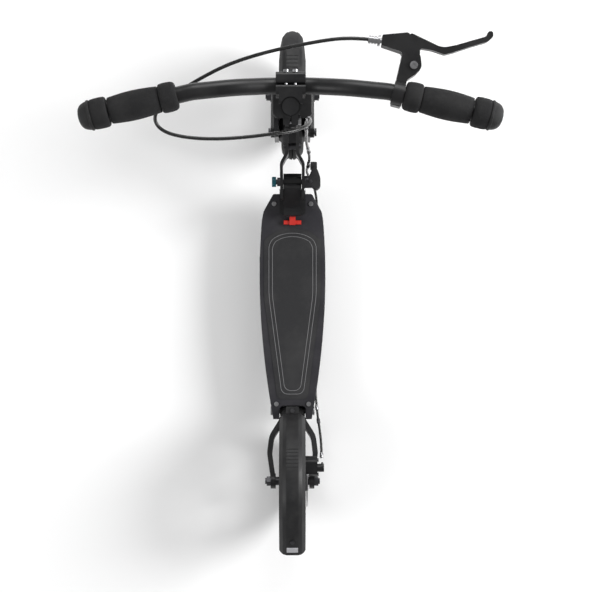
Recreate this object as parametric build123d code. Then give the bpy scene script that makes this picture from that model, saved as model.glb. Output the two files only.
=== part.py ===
# Electric kick scooter, millimetres. +X right, +Y forward, +Z up, origin on the ground under its middle.
import os
from math import cos, radians, sin, sqrt, tan

from build123d import *

# wheels
wheelbase = 770.0
front_axle_y = 386.5
rear_axle_y = front_axle_y - wheelbase
tyre_r = 127.0
tyre_w = 45.0
rim_r = 89.0
rim_w = 30.0
axle_r = 6.0
run_gap = 0.05          # radial clearance of a shaft in its hole
face_gap = 0.3          # space between faces that pass each other
fender_gap = 8.0
fender_w = 51.0
fender_wall = 2.5
# steering column
rake = 10.03            # degrees back from upright
head_low, head_len = 190.0, 104.0     # along the steering axis, from the axle's height
head_tube_r = 21.0
steerer_r = 12.7
lower_tube_r = 15.9
inner_tube_r = 12.7
lower_tube_low, lower_tube_top = 306.0, 622.0
inner_tube_low, inner_tube_top = 470.0, 866.0
# handlebar
bar_r = 11.1
bar_y, bar_z = 264.0, 970.0
bar_rise = 22.0
bar_bend_x = (28.0, 75.0, 128.0)     # where it starts to rise, turns back and straightens
bar_sweep = 13.1
bar_sweep_x = 80.0      # where the straight ends would meet the middle's line
bar_half = 259.0        # to the end of the tube, without its cap
grip_r = 19.5
grip_inner, grip_outer = 171.0, 237.0
band_w = 23.0
cap_len = 17.0
# deck
deck_top = 110.0
deck_plate_t = 4.0
deck_bevel = 1.2
tray_bevel = 2.5
tray_bottom = 66.0
tray_wall = 3.0
deck_half_w = 66.3
deck_front_y, deck_rear_y = 192.0, -261.6
notch_y, notch_half_w, notch_r = -235.0, 26.2, 9.0
screw_r = 2.5
port_r = 8.0
button_r = 7.0
# fold joint
fold_y, fold_z = 210.0, 178.0
fold_axle_r = 5.0
neck_half_w = 17.5
plate_t = 5.5
plate_inner_front = 7.0
plate_bend_y = 236.5     # forward enough to pass the pedal when folded
plate_inner_rear = neck_half_w + 0.7
# leading links
link_pivot_y, link_pivot_z = 311.0, 150.0
link_t = 8.0
link_inner = 38.0
# rear arm
arm_pivot_y, arm_pivot_z = -247.0, 86.0
arm_t = 10.0
rotor_r = 51.0
rotor_t = 1.8
rotor_x = 29.0
# brake lever
lever_pivot = (160.4, 286.8, 985.0)
lever_clamp_x = (133.0, 147.0)
lever_root_r = 9.0
lever_t = 10.0
cable_r = 2.5
nodes = {}


def save(name, *solids):
    """Adds solids to a node; a node may be filled by more than one call."""
    for shape in solids:
        nodes.setdefault(name, []).extend(shape.solids())


def write_parts():
    os.makedirs("parts", exist_ok=True)
    for name, solids in nodes.items():
        shape = solids[0] if len(solids) == 1 else Compound(children=solids)
        export_step(shape, f"parts/{name}.step")
    print(len(nodes), "nodes")


def rod(p, q, r, r_hole=0.0):
    """A round bar from p to q, bored when r_hole is given."""
    p, q = Vector(*p), Vector(*q)
    low = (Align.CENTER, Align.CENTER, Align.MIN)
    body = Cylinder(r, (q - p).length, align=low)
    if r_hole:
        body -= Cylinder(r_hole, (q - p).length, align=low)
    return Plane(origin=p, z_dir=q - p) * body


def block(x, y, z, radius=0.0, axis=Axis.Z):
    """A box between pairs of limits, its edges along one axis rounded."""
    b = Box(x[1] - x[0], y[1] - y[0], z[1] - z[0], align=(Align.MIN, Align.MIN, Align.MIN))
    if radius:
        b = fillet(b.edges().filter_by(axis), radius)
    return Pos(x[0], y[0], z[0]) * b


def rounded(points, radii):
    """A closed outline of straight sides with its corners rounded one by one."""
    wire = Polyline(*points, close=True)
    face = make_face(wire)
    for (px, py), r in zip(points, radii):
        if r:
            corner = [v for v in face.vertices() if abs(v.X - px) + abs(v.Y - py) < 1e-4]
            face = fillet(corner, r)
    return face


def side_slab(points, radii, x0, x1):
    """A slab across X whose outline is drawn in Y and Z."""
    face = rounded(points, radii)
    slab = extrude(face, x1 - x0)
    return Plane(origin=(x0, 0, 0), x_dir=(0, 1, 0), z_dir=(1, 0, 0)) * slab


def top_slab(points, radii, z0, z1):
    """A slab whose outline is drawn in X and Y."""
    return Pos(0, 0, z0) * extrude(rounded(points, radii), z1 - z0)


def turned(outline, y, z):
    """A ring round the X axis through (y, z); the outline is (x, radius) points."""
    face = make_face(Polyline(*[(a, b) for a, b in outline], close=True))
    ring = revolve(face, Axis.X, 360)
    return Pos(0, y, z) * ring


def mirror_x(shape):
    return mirror(shape, Plane.YZ)


def tube_along(points, radii, r, r_in=0.0):
    """A round tube along straight runs joined by tangent arcs."""
    path = FilletPolyline(*points, radius=radii) if len(points) > 2 else Line(*points)
    start = Plane(origin=path @ 0, z_dir=path % 0)
    section = start * Circle(r)
    if r_in:
        section -= start * Circle(r_in)
    return sweep(section, path=path)


def cord_radii(points):
    """The largest arcs that the runs beside each point allow."""
    pts = [Vector(*p) for p in points]
    radii = []
    for a, b, c in zip(pts, pts[1:], pts[2:]):
        turn = (b - a).get_angle(c - b)
        radii.append(round(0.45 * min((b - a).length, (c - b).length) / tan(radians(turn / 2)), 1))
    return radii


def cord(name, points):
    radii = cord_radii(points)
    solid = tube_along(points, radii, cable_r)
    path = FilletPolyline(*points, radius=radii)
    share = solid.volume / (3.14159265 * cable_r**2 * path.length)
    print(name, "radii", radii, "length", round(path.length, 1), "volume share", round(share, 4))
    return solid


steer = Plane(origin=(0, front_axle_y, tyre_r), x_dir=(1, 0, 0),
              z_dir=(0, -sin(radians(rake)), cos(radians(rake))))


def on_axis(s, ahead=0.0, across=0.0):
    """A point at s along the steering axis, ahead of it and across it."""
    return tuple(steer.from_local_coords(Vector(across, ahead, s)))


def collar(s0, s1, r, r_hole=0.0):
    """A ring round the steering axis."""
    return rod(on_axis(s0), on_axis(s1), r, r_hole)


def bar_point(x, ahead=0.0, up=0.0):
    """A point on the swept end of the handlebar, at |x| from the middle."""
    y = bar_y - (x - bar_sweep_x) * tan(radians(bar_sweep))
    lean = radians(bar_sweep)
    return (x + ahead * sin(lean), y + ahead * cos(lean), bar_z + bar_rise + up)


# ---- deck ----

def deck_face(inset=0.0):
    """The deck's outline: bowed sides, a tapered nose and a notch for the rear wheel."""
    half = deck_half_w - inset
    rear, front = deck_rear_y + inset, deck_front_y - inset
    rear_half, nose_half = 38.8 - inset, 39.0 - inset
    side = Spline((rear_half, rear), (half - 12.8, -166.5), (half, 25.0), (half - 4.6, 139.5))
    shoulder = Line((half - 4.6, 139.5), (half - 7.5, 156.0))
    taper = Line((half - 7.5, 156.0), (nose_half, front))
    right = [side, shoulder, taper]
    left = [mirror_x(c) for c in right]
    ends = [Line((rear_half, rear), (-rear_half, rear)), Line((nose_half, front), (-nose_half, front))]
    face = make_face(right + left + ends)
    nose = [v for v in face.vertices() if abs(abs(v.X) - nose_half) < 0.01 and v.Y > 0]
    face = fillet(nose, 5)
    knee = [v for v in face.vertices() if abs(v.Y - 156.0) < 0.01]
    face = fillet(knee, 12)
    w = notch_half_w + inset
    y1 = notch_y + inset
    notch = rounded([(-w, rear - 10), (w, rear - 10), (w, y1), (-w, y1)], [0, 0, notch_r, notch_r])
    return face - notch


screw_places = [(37.2, 172.0), (-37.2, 172.0), (32.5, -231.0), (-32.5, -231.0)]
neck_bolt_places = [(x, z) for x in (-22.2, 22.2) for z in (84, 100)]


def make_deck():
    plate = Pos(0, 0, deck_top - deck_plate_t) * extrude(deck_face(), deck_plate_t - deck_bevel)
    plate += Pos(0, 0, deck_top - deck_bevel) * extrude(deck_face(), deck_bevel, taper=45)
    tray_top = deck_top - deck_plate_t
    tray = Pos(0, 0, tray_bottom + tray_bevel) * extrude(deck_face(1.5), tray_top - tray_bottom - tray_bevel)
    tray += Pos(0, 0, tray_bottom) * extrude(deck_face(3.5), tray_bevel)
    room = top_slab([(-46, -196), (46, -196), (57, -60), (58, 60), (52, 148), (-52, 148), (-58, 60),
                     (-57, -60)], [8] * 8, tray_bottom + tray_wall, tray_top + 1)
    tray -= room
    for x, y in screw_places:
        hole = rod((x, y, tray_top - 14), (x, y, deck_top + 1), screw_r + run_gap)
        tray -= hole
        plate -= hole
    for x, z in neck_bolt_places:
        tray -= rod((x, deck_front_y - 12, z), (x, deck_front_y + 2, z), 3)
    pivot = rod((-60, arm_pivot_y, arm_pivot_z), (60, arm_pivot_y, arm_pivot_z), axle_r + run_gap)
    tray -= pivot
    tray -= rod((50, 20, 88), (80, 20, 88), port_r + run_gap)
    tray -= rod((-80, 60, 88), (-50, 60, 88), button_r + run_gap)
    save("deck_tray", tray)
    save("deck_plate", plate)
    heads = []
    for x, y in screw_places:
        s = rod((x, y, tray_top - 12), (x, y, deck_top + 1.6), screw_r)
        s += rod((x, y, deck_top), (x, y, deck_top + 2.4), 4.6)
        s -= Pos(x, y, deck_top + 1.2) * extrude(RegularPolygon(1.7, 6), 2)
        heads.append(s)
    save("deck_bolts", *heads)
    grip = top_slab([(-34, 118.0), (0, 124.6), (34, 118.0), (57.6, 99.5), (57.6, -14.0), (30.5, -221.0),
                     (-30.5, -221.0), (-57.6, -14.0), (-57.6, 99.5)],
                    [60, 90, 60, 12, 140, 10, 10, 140, 12], deck_top, deck_top + 1.2)
    save("grip_tape", grip)
    pack = block((-42, 42), (-150, 60), (tray_bottom + tray_wall, tray_bottom + tray_wall + 30), 4)
    for y in range(-140, 60, 30):
        pack -= block((-43, 43), (y - 0.6, y + 0.6), (tray_bottom + tray_wall + 29, tray_top))
    save("battery_pack", pack)
    box = block((-36, 36), (76, 140), (tray_bottom + tray_wall, tray_bottom + tray_wall + 22), 3)
    for x in range(-30, 31, 10):
        box -= block((x - 2, x + 2), (80, 136), (tray_bottom + tray_wall + 17, tray_top))
    save("motor_controller", box)




def make_controls():
    """The charge socket on the right, the power button on the left."""
    wall_x = deck_half_w - 1.5
    socket = rod((wall_x - 14, 20, 88), (wall_x + 1.0, 20, 88), port_r)
    socket += rod((wall_x + 0.1, 20, 88), (wall_x + 1.6, 20, 88), port_r + 3)
    socket -= rod((wall_x - 8, 20, 88), (wall_x + 4, 20, 88), port_r - 2.5)
    save("charge_socket", socket)
    button = rod((-wall_x - 2.0, 60, 88), (-wall_x + 9, 60, 88), button_r)
    button -= rod((-wall_x - 3.0, 60, 88), (-wall_x - 1.4, 60, 88), button_r - 2)
    save("power_button", button)


# ---- kickstand ----
stand_pivot = (-54.0, 96.0, 56.0)
stand_len = 52.0


def make_kickstand():
    """A side stand folded back along the left edge, under the tray."""
    x, y, z = stand_pivot
    lug = block((x - 9, x + 9), (y - 12, y + 12), (z + 7, tray_bottom))
    lug += block((x - 9, x - 5), (y - 9, y + 9), (z - 9, tray_bottom), 3, Axis.X)
    lug += block((x + 5, x + 9), (y - 9, y + 9), (z - 9, tray_bottom), 3, Axis.X)
    lug += rod((x - 12, y, z), (x + 12, y, z), 4)
    lug -= rod((x - 13, y, z), (x - 11, y, z), 2)
    save("deck_tray", lug)
    leg = rod((x - 4.7, y, z), (x + 4.7, y, z), 7)
    end = (x - 3, y - stand_len, z - 2)
    leg += tube_along([(x, y - 2, z), (x, y - stand_len / 2, z - 0.5), end], [60], 4.5)
    leg -= rod((x - 6, y, z), (x + 6, y, z), 4 + run_gap)
    save("stand_leg", leg)
    foot = rod((end[0], end[1] + 3, end[2]), (end[0], end[1] - 18, end[2]), 6.2)
    foot -= rod((end[0], end[1] + 5, end[2]), (end[0], end[1] + 0.2, end[2]), 4.8)
    foot = chamfer(foot.faces().sort_by(Axis.Y)[0].edges(), 1.5) - leg
    save("stand_leg", foot)


# ---- neck and fold joint ----

def make_neck():
    """The hinge casting on the deck's nose."""
    outline = [(150, deck_top), (deck_front_y + 0.2, deck_top), (deck_front_y + 0.2, 74), (204, 74), (222, 140),
               (226, 186), (216, 197), (203, 194), (166, 132), (150, 126)]
    radii = [0, 0, 0, 6, 30, 8, 6, 6, 30, 6]
    neck = side_slab(outline, radii, -neck_half_w, neck_half_w)
    foot = block((-26, 26), (150, deck_front_y), (deck_top, deck_top + 6), 5)
    shin = block((-26, 26), (deck_front_y + 0.2, deck_front_y + 7), (74, deck_top + 6), 5, Axis.Y)
    neck = neck + foot + shin
    neck -= rod((-40, fold_y, fold_z), (40, fold_y, fold_z), fold_axle_r + run_gap)
    neck -= rod((-20, latch_y, latch_z), (20, latch_y, latch_z), 3 + run_gap)
    neck -= block((-pedal_half - face_gap, pedal_half + face_gap), (140, 170), (deck_top + 4, 140))
    for x, z in neck_bolt_places:
        neck -= rod((x, 180, z), (x, 220, z), 3)
    save("neck_block", neck)
    bolts = []
    for x, z in neck_bolt_places:
        b = rod((x, deck_front_y - 10, z), (x, deck_front_y + 9, z), 3)
        b += rod((x, deck_front_y + 7.0, z), (x, deck_front_y + 11, z), 4.6)
        bolts.append(b - rod((x, deck_front_y + 9, z), (x, deck_front_y + 12, z), 2))
    save("deck_bolts", *bolts)


latch_y, latch_z = 156.0, 121.0
pedal_half = 11.0


def make_latch():
    """The hood pedal over the neck's back, with its red release bar."""
    pin = rod((-neck_half_w, latch_y, latch_z), (neck_half_w, latch_y, latch_z), 3)
    save("deck_bolts", pin)
    pedal = side_slab([(204.5, 198.5), (198, 203), (158.5, 139.5), (147, 135), (147, 129.5), (164.3, 134.5)],
                      [2, 4, 28, 2.5, 2, 31], -neck_half_w, neck_half_w)
    pedal += side_slab([(151, 121), (161, 121), (159, 136), (150, 132)], [0] * 4, -pedal_half, pedal_half)
    pedal += rod((-pedal_half, latch_y, latch_z), (pedal_half, latch_y, latch_z), 6)
    pedal -= rod((-20, latch_y, latch_z), (20, latch_y, latch_z), 3 + run_gap)
    save("fold_pedal", pedal)
    z0 = deck_top + face_gap
    bar = block((-neck_half_w, neck_half_w), (130, 138.5), (z0, 119), 2, Axis.X)
    bar += block((-6, 6), (129, 145.5), (z0, 122), 1.2)
    save("red_latch", bar)


def make_fold_axle():
    """The through axle of the fold joint with its knob and cam lever."""
    left = -(plate_inner_rear + plate_t)
    axle = rod((-33, fold_y, fold_z), (27, fold_y, fold_z), fold_axle_r)
    axle += rod((-30, fold_y, fold_z), (left - 0.2, fold_y, fold_z), 8.5)
    save("fold_axle", axle)
    knob = rod((-40, fold_y + 0, fold_z), (-32, fold_y, fold_z), 10)
    for i in range(12):
        a = radians(30 * i)
        p = (fold_y + 10.6 * cos(a), fold_z + 10.6 * sin(a))
        knob -= rod((-41, p[0], p[1]), (-31, p[0], p[1]), 1.6)
    knob -= rod((-34, fold_y, fold_z), (-30, fold_y, fold_z), fold_axle_r)
    save("fold_knob", knob)


def make_cam():
    """The cam body on the axle's right end and the crescent lever round it."""
    x0 = plate_inner_rear + plate_t
    body = rod((x0, fold_y, fold_z), (42, fold_y, fold_z), 12)
    body -= rod((x0 - 1, fold_y, fold_z), (27.1, fold_y, fold_z), fold_axle_r)
    body = fillet(body.faces().sort_by(Axis.X)[-1].edges(), 2)
    pin = rod((36, fold_y, fold_z - 18), (36, fold_y, fold_z + 18), 3)
    save("fold_axle", body + pin)
    ear_z = 12 + face_gap
    outer = [(44.5, fold_y + 30), (50, fold_y + 20), (54.5, fold_y + 6), (54.5, fold_y - 12), (46, fold_y - 17),
             (31, fold_y - 4), (31, fold_y + 6), (38, fold_y + 24)]
    lever = top_slab(outer, [1, 14, 14, 6, 5, 4, 6, 6], fold_z - 17, fold_z + 17)
    hollow = block((20, 45.5), (fold_y - 13.5, fold_y + 13.5), (fold_z - ear_z, fold_z + ear_z))
    sweep_room = rod((36, fold_y, fold_z - ear_z), (36, fold_y, fold_z + ear_z), 18)
    lever -= hollow + sweep_room
    lever -= rod((36, fold_y, fold_z - 20), (36, fold_y, fold_z + 20), 3 + run_gap)
    save("fold_lever", lever)
    tip = block((35, 48), (fold_y + 24.2, fold_y + 38), (fold_z - 14, fold_z + 14), 2)
    tip -= top_slab(outer, [1, 14, 14, 6, 5, 4, 6, 6], fold_z - 17, fold_z + 17)
    save("fold_lever", tip)


# ---- front frame ----

def plate_profile():
    """A side plate's outline in Y and Z."""
    return [(334, 418), (334, 336), (292, 318), (244, 226), (206, 150), (176, 154), (174, 190), (206, 206),
            (238, 262), (318, 414)], [3, 3, 20, 30, 14, 10, 14, 20, 30, 6]


def make_side_plates():
    """Two bent plates from the head tube down to the fold axle."""
    points, radii = plate_profile()
    cut = side_slab(points, radii, -60, 60)
    inner = plate_inner_rear
    band = [(plate_inner_front, 336), (plate_inner_front, 253), (inner, plate_bend_y), (inner, 170),
            (inner + plate_t, 170), (inner + plate_t, plate_bend_y + 2), (plate_inner_front + plate_t, 255),
            (plate_inner_front + plate_t, 336)]
    right = top_slab(band, [0, 10, 10, 0, 0, 14, 14, 0], 120, 440) & cut
    right -= rod((0, fold_y, fold_z), (50, fold_y, fold_z), fold_axle_r + run_gap)
    clear = collar(head_low - 10, head_low + head_len + 10, head_tube_r, 0)
    right -= clear
    for y, z in spacer_places:
        right -= rod((0, y, z), (50, y, z), 3)
    left = mirror_x(right)
    save("side_plates", right)
    save("side_plates", left)
    tube = collar(head_low, head_low + head_len, head_tube_r, bearing_r)
    tube += collar(head_low + 9, head_low + head_len - 9, head_tube_r, steerer_r + 1.5)
    save("head_tube", tube)
    rings = []
    for s in (head_low, head_low + head_len - 8):
        rings.append(collar(s, s + 8, bearing_r, steerer_r + run_gap))
    save("head_bearings", *rings)
    spacers = []
    for y, z in spacer_places:
        half = plate_inner_front
        s = rod((-half, y, z), (half, y, z), 6) + rod((-half - plate_t - 4, y, z), (half + plate_t + 4, y, z), 3)
        for side in (-1, 1):
            x = side * (half + plate_t)
            s += rod((x, y, z), (x + side * 3.4, y, z), 5.2)
        spacers.append(s)
    save("frame_spacers", *spacers)


bearing_r = 17.5
spacer_places = [(266, 292), (308, 352)]


# ---- steering ----
crown_low, crown_top = 160.0, 183.0


def in_steer(shape):
    """Places a shape drawn about the steering axis."""
    return steer * shape


def make_fork():
    """Crown, steerer and the two swept legs that carry the leading links."""
    crown = rounded([(-38.1, 10), (-20, 21), (20, 21), (38.1, 10), (38.1, -30), (30, -38), (-30, -38),
                     (-38.1, -30)], [8, 20, 20, 8, 6, 4, 4, 6])
    crown = Pos(0, 0, crown_low) * extrude(crown, crown_top - crown_low)
    crown = fillet(crown.faces().sort_by(Axis.Z)[-1].edges(), 3)
    crown -= Pos(0, 0, crown_low) * Cylinder(steerer_r, 80)
    save("fork_crown", in_steer(crown))
    tube = collar(crown_low, 335, steerer_r, steerer_r - 2.5)
    save("fork_crown", tube)
    leg_outline = [(358, 292), (308, 279), (291, 235), (289, 160), (296, 137), (326, 137), (334, 168), (336, 225)]
    leg = side_slab(leg_outline, [4, 8, 30, 24, 14, 14, 24, 40], leg_inner, leg_inner + leg_t)
    under = Plane(origin=on_axis(crown_low), x_dir=(1, 0, 0), z_dir=steer.z_dir)
    above = under * Pos(0, 0, 40) * Box(200, 200, 80)
    leg -= above
    leg -= side_slab([(300, 258), (324, 262), (324, 190), (302, 186)], [6, 8, 8, 6], leg_inner + leg_t - 2.5, 60)
    bore = rod((20, link_pivot_y, link_pivot_z), (60, link_pivot_y, link_pivot_z), cartridge_r)
    leg -= bore
    save("fork_legs", leg)
    save("fork_legs", mirror_x(leg))
    rubbers = []
    for side in (-1, 1):
        a, b = side * leg_inner, side * (leg_inner + leg_t)
        rubbers.append(rod((a, link_pivot_y, link_pivot_z), (b, link_pivot_y, link_pivot_z), cartridge_r, 5))
    save("link_cartridges", *rubbers)
    bolts = []
    for side in (-1, 1):
        a, b = side * leg_inner, side * (leg_inner + leg_t + link_t + 1.0)
        s = rod((a, link_pivot_y, link_pivot_z), (b, link_pivot_y, link_pivot_z), 5)
        s += rod((b, link_pivot_y, link_pivot_z), (b + side * 4, link_pivot_y, link_pivot_z), 8)
        s -= Plane(origin=(b + side * 1.5, link_pivot_y, link_pivot_z), z_dir=(side, 0, 0)) * extrude(
            RegularPolygon(4, 6), 4)
        bolts.append(s)
    save("steering_bolts", *bolts)


leg_inner, leg_t = 26.5, 8.0
cartridge_r = 12.0


def make_links():
    """The leading links with the axle, its nuts and the front fender."""
    y0, z0 = link_pivot_y, link_pivot_z
    y1, z1 = front_axle_y, tyre_r
    x0 = leg_inner + leg_t + face_gap
    arm = side_slab([(y0 - 15, z0), (y0, z0 + 17), (y1, z1 + 15), (y1 + 16, z1), (y1, z1 - 15),
                     (y0, z0 - 16)], [12, 12, 12, 12, 12, 12], x0, x0 + link_t)
    pocket = side_slab([(y0 + 20, z0 - 2), (y0 + 22, z0 - 11), (y1 - 18, z1 - 3), (y1 - 18, z1 + 4)],
                       [3, 3, 3, 3], x0 + link_t - 2.5, x0 + link_t + 2)
    arm -= pocket
    arm -= rod((0, y0, z0), (60, y0, z0), 5 + run_gap)
    arm -= rod((0, y1, z1), (60, y1, z1), axle_r)
    save("link_arms", arm)
    save("link_arms", mirror_x(arm))
    end = x0 + link_t
    save("front_axle", rod((-end - 11, y1, z1), (end + 11, y1, z1), axle_r))
    nuts = []
    for side in (-1, 1):
        hexagon = Plane(origin=(side * (end + 1.5), y1, z1), z_dir=(side, 0, 0)) * extrude(
            RegularPolygon(10, 6), 8)
        washer = rod((side * end, y1, z1), (side * (end + 1.5), y1, z1), 12, axle_r)
        inner = rod((side * (x0), y1, z1), (side * (hub_half + face_gap + 3.5), y1, z1), 9, axle_r)
        nuts += [(hexagon - rod((side * end, y1, z1), (side * (end + 12), y1, z1), axle_r)) + washer, inner]
    save("front_axle", *nuts)


hub_half = 22.0


def fender_shell(y, z, r, start, end, half_w, drop):
    """A curved mudguard shell about (y, z) between two angles from +Y, with rolled sides."""
    outer = r
    inner = r - fender_wall
    w = half_w
    outline = [(-w, outer - drop), (-w + 7, outer - 3), (-w + 14, outer), (w - 14, outer), (w - 7, outer - 3),
               (w, outer - drop), (w - fender_wall, outer - drop), (w - 8.2, outer - 5.2),
               (w - 14.5, inner), (-w + 14.5, inner), (-w + 8.2, outer - 5.2), (-w + fender_wall, outer - drop)]
    radii = [0, 5, 8, 8, 5, 0, 0, 4, 6, 6, 4, 0]
    face = rounded(outline, radii)
    shell = revolve(face, Axis.X, end - start)
    return Pos(0, y, z) * (Rot(start, 0, 0) * shell)


front_fender_r = tyre_r + fender_gap + 2 * fender_wall


def make_front_fender():
    r = front_fender_r
    shell = fender_shell(front_axle_y, tyre_r, r, 37, 141, fender_w / 2, 12)
    w, y = fender_w / 2 + 0.1, front_axle_y
    nose = [Spline((0, y + 112), (14, y + 103), (19, y + 94), (w, y + 48)), Line((w, y + 48), (w, y - 150)),
            Line((w, y - 150), (0, y - 150))]
    shell &= Pos(0, 0, tyre_r) * extrude(make_face(nose + [mirror_x(c) for c in nose]), 200)
    for i in range(4):
        a = radians(66 + 3.4 * i)
        p = (y + (r - 0.6) * cos(a), tyre_r + (r - 0.6) * sin(a))
        shell += rod((-11, p[0], p[1]), (11, p[0], p[1]), 1.5)
    stays = []
    x0 = leg_inner + leg_t + face_gap
    save("front_fender", shell)
    for side in (-1, 1):
        stays.append(tube_along([(side * 23.6, front_axle_y + 6, tyre_r + r - 15),
                                 (side * 31.5, front_axle_y + 14, tyre_r + r - 50),
                                 (side * 31.5, front_axle_y + 6, tyre_r + 16)], [20], 2.4))
    feet = [rod((side * (x0 - face_gap), front_axle_y, tyre_r), (side * (x0 - 5.5), front_axle_y, tyre_r),
                18, 9.3) for side in (-1, 1)]
    save("front_fender", *[s + f for s, f in zip(stays, feet)])


# ---- wheels ----

def tyre(y):
    """A road tyre with a rounded crown, three grooves and a bead each side."""
    half, crown = tyre_w / 2, tyre_r
    outline = [(-15.5, rim_r), (-half, crown - 24), (-half + 2, crown - 13), (-13, crown - 3.5), (-8.6, crown - 1.4),
               (-7.4, crown - 4), (-6.2, crown - 0.9), (-1.2, crown), (0, crown - 3), (1.2, crown),
               (6.2, crown - 0.9), (7.4, crown - 4), (8.6, crown - 1.4), (13, crown - 3.5),
               (half - 2, crown - 13), (half, crown - 24), (15.5, rim_r)]
    radii = [0, 12, 10, 6] + [0] * 9 + [6, 10, 12, 0]
    face = rounded(outline, radii)
    return Pos(0, y, tyre_r) * revolve(face, Axis.X, 360)


def rim_ring():
    """The rim's section: bead seats and a well."""
    w = rim_w / 2
    return [(-w - 1.5, rim_r - 0.1), (-w - 1.5, rim_r - 7), (-7, rim_r - 12), (7, rim_r - 12), (w + 1.5, rim_r - 7),
            (w + 1.5, rim_r - 0.1), (w - 2, rim_r - 0.1), (w - 4, rim_r - 3), (6, rim_r - 7), (-6, rim_r - 7),
            (-w + 4, rim_r - 3), (-w + 2, rim_r - 0.1)]


motor_r = 56.0


def make_front_wheel():
    """Tyre, five-spoke rim with the motor's shell, its covers, magnets, stator and bearings."""
    y, z = front_axle_y, tyre_r
    save("front_tyre", tyre(y))
    rim = turned(rim_ring(), y, z)
    rim += rod((-16, y, z), (16, y, z), motor_r, motor_r - 5)
    for i in range(6):
        spoke = Box(14, 30, 12)
        rim += Pos(0, y, z) * (Rot(60 * i + 30, 0, 0) * (Pos(0, (motor_r + rim_r - 11) / 2, 0) * spoke))
    save("front_rim", rim)
    covers = []
    for side in (-1, 1):
        c = rod((side * 16.0, y, z), (side * 20, y, z), motor_r - 1, bearing_seat_r)
        c += rod((side * 15, y, z), (side * hub_half, y, z), 20, bearing_seat_r)
        for i in range(6):
            a = radians(60 * i)
            p = (y + 48 * cos(a), z + 48 * sin(a))
            c += rod((side * 19, *p), (side * 21.4, *p), 3)
        covers.append(c)
    save("motor_covers", *covers)
    save("front_rim", rod((-13, y, z), (13, y, z), motor_r - 5, motor_r - 8))
    stator = rod((-12, y, z), (12, y, z), motor_r - 9, axle_r)
    for i in range(12):
        a = radians(30 * i)
        p = (y + 40 * cos(a), z + 40 * sin(a))
        stator -= rod((-14, *p), (14, *p), 5)
    save("motor_stator", stator)
    bearings = [rod((side * 15.2, y, z), (side * 21.8, y, z), bearing_seat_r, axle_r + run_gap) for side in (-1, 1)]
    save("front_bearings", *bearings)


bearing_seat_r = 14.0


def make_rear_wheel():
    y, z = rear_axle_y, tyre_r
    save("rear_tyre", tyre(y))
    rim = turned(rim_ring(), y, z)
    rim += rod((-20, y, z), (20, y, z), 24, bearing_seat_r)
    for i in range(5):
        spoke = extrude(rounded([(20, -9), (rim_r - 9, -6), (rim_r - 9, 6), (20, 9)], [0, 3, 3, 0]), 10)
        spoke = Plane(origin=(-5, 0, 0), x_dir=(0, 1, 0), z_dir=(1, 0, 0)) * spoke
        rim += Pos(0, y, z) * (Rot(72 * i + 18, 0, 0) * spoke)
    rim += rod((20, y, z), (rotor_x - rotor_t / 2, y, z), 20, bearing_seat_r)
    for i in range(6):
        a = radians(60 * i)
        rim -= rod((15, y + 16.8 * cos(a), z + 16.8 * sin(a)), (40, y + 16.8 * cos(a), z + 16.8 * sin(a)), 1.8)
    save("rear_rim", rim)
    x0, x1 = rotor_x - rotor_t / 2, rotor_x + rotor_t / 2
    rotor = rod((x0, y, z), (x1, y, z), rotor_r, rotor_r - 13)
    rotor += rod((x0, y, z), (x1, y, z), 20, 12)
    for i in range(6):
        arm = Pos(x0, 0, 0) * Box(rotor_t, rotor_r - 24, 6, align=(Align.MIN, Align.MIN, Align.CENTER))
        rotor += Pos(0, y, z) * (Rot(60 * i + 30, 0, 0) * (Pos(0, 17, 0) * arm))
    for i in range(24):
        a = radians(15 * i)
        r = rotor_r - (4 if i % 2 else 8)
        rotor -= rod((x0 - 1, y + r * cos(a), z + r * sin(a)), (x1 + 1, y + r * cos(a), z + r * sin(a)), 1.6)
    bolts = []
    for i in range(6):
        a = radians(60 * i)
        p = (y + 16.8 * cos(a), z + 16.8 * sin(a))
        rotor -= rod((x0 - 1, *p), (x1 + 1, *p), 1.8)
        b = rod((x0 - 8, *p), (x1, *p), 1.8) + rod((x1, *p), (x1 + 1.6, *p), 2.8)
        bolts.append(b)
    save("brake_rotor", rotor)
    save("brake_rotor", *bolts)
    save("rear_bearings", *[rod((side * 15, y, z), (side * 20.5 if side < 0 else rotor_x - 1, y, z),
                                bearing_seat_r, axle_r + run_gap) for side in (-1, 1)])


# ---- upper stem and handlebar ----

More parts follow.
